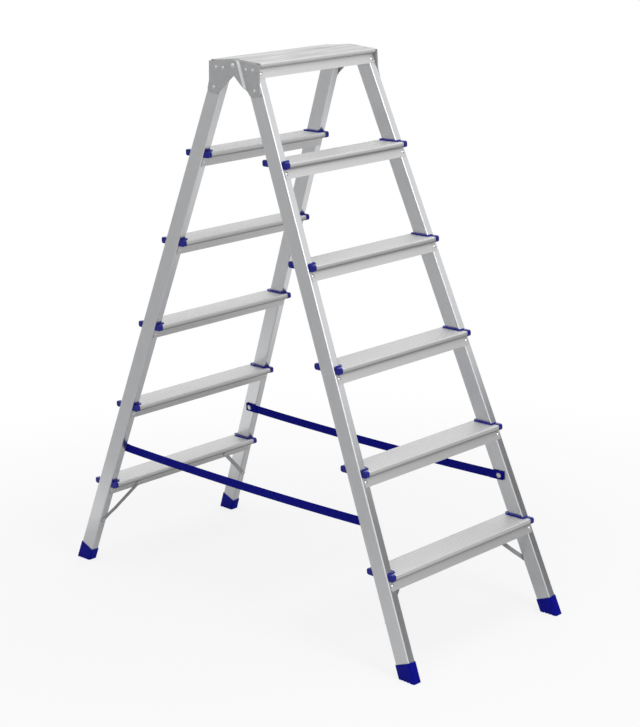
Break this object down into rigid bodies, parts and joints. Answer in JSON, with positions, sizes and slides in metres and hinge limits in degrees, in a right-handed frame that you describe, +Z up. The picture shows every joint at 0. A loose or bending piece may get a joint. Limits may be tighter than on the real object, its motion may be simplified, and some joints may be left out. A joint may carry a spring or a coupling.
{
  "type": "double-sided step ladder",
  "caption": "Folding double-sided step ladder: two splayed sections of tube stiles and ribbed treads, joined by riveted hinge plates and webbing straps.",
  "frame": {"origin": "on the floor, in the middle of the four feet", "axes": "+X across the treads towards the right side, +Y from the front section to the back section, +Z up"},
  "size_m": [0.5114, 1.136, 1.272],
  "materials": {
    "aluminium": "satin mill finish",
    "rivet_metal": "bright drawn",
    "zinc_steel": "zinc plated, satin",
    "cap_plastic": "moulded, slightly glossy",
    "foot_plastic": "moulded, matt",
    "webbing": "woven polypropylene"
  },
  "bodies": {
    "front_section": {"front_hinge_rivets": "rivet_metal", "front_left_brace": "aluminium", "front_left_foot": "foot_plastic", "front_left_hinge_plate": "zinc_steel", "front_left_stile": "aluminium", "front_platform": "aluminium", "front_right_brace": "aluminium", "front_right_foot": "foot_plastic", "front_right_hinge_plate": "zinc_steel", "front_right_stile": "aluminium", "front_rivets": "rivet_metal", "front_strap_rivets": "rivet_metal", "front_tread_1": "aluminium", "front_tread_1_left_cap": "cap_plastic", "front_tread_1_right_cap": "cap_plastic", "front_tread_2": "aluminium", "front_tread_2_left_cap": "cap_plastic", "front_tread_2_right_cap": "cap_plastic", "front_tread_3": "aluminium", "front_tread_3_left_cap": "cap_plastic", "front_tread_3_right_cap": "cap_plastic", "front_tread_4": "aluminium", "front_tread_4_left_cap": "cap_plastic", "front_tread_4_right_cap": "cap_plastic", "front_tread_5": "aluminium", "front_tread_5_left_cap": "cap_plastic", "front_tread_5_right_cap": "cap_plastic", "left_hinge_washer": "zinc_steel", "left_pivot_rivet": "zinc_steel", "left_strap": "webbing", "right_hinge_washer": "zinc_steel", "right_pivot_rivet": "zinc_steel", "right_strap": "webbing"},
    "back_section": {"back_hinge_rivets": "rivet_metal", "back_left_brace": "aluminium", "back_left_foot": "foot_plastic", "back_left_hinge_plate": "zinc_steel", "back_left_stile": "aluminium", "back_platform": "aluminium", "back_right_brace": "aluminium", "back_right_foot": "foot_plastic", "back_right_hinge_plate": "zinc_steel", "back_right_stile": "aluminium", "back_rivets": "rivet_metal", "back_strap_rivets": "rivet_metal", "back_tread_1": "aluminium", "back_tread_1_left_cap": "cap_plastic", "back_tread_1_right_cap": "cap_plastic", "back_tread_2": "aluminium", "back_tread_2_left_cap": "cap_plastic", "back_tread_2_right_cap": "cap_plastic", "back_tread_3": "aluminium", "back_tread_3_left_cap": "cap_plastic", "back_tread_3_right_cap": "cap_plastic", "back_tread_4": "aluminium", "back_tread_4_left_cap": "cap_plastic", "back_tread_4_right_cap": "cap_plastic", "back_tread_5": "aluminium", "back_tread_5_left_cap": "cap_plastic", "back_tread_5_right_cap": "cap_plastic"}
  },
  "joints": [
    {"name": "fold", "type": "hinge", "parent": "front_section", "child": "back_section", "pos_m": [0, 0, 1.257], "axis": [-1, 0, 0], "range_deg": [0, 43], "deforming": ["left_strap", "right_strap"]}
  ]
}
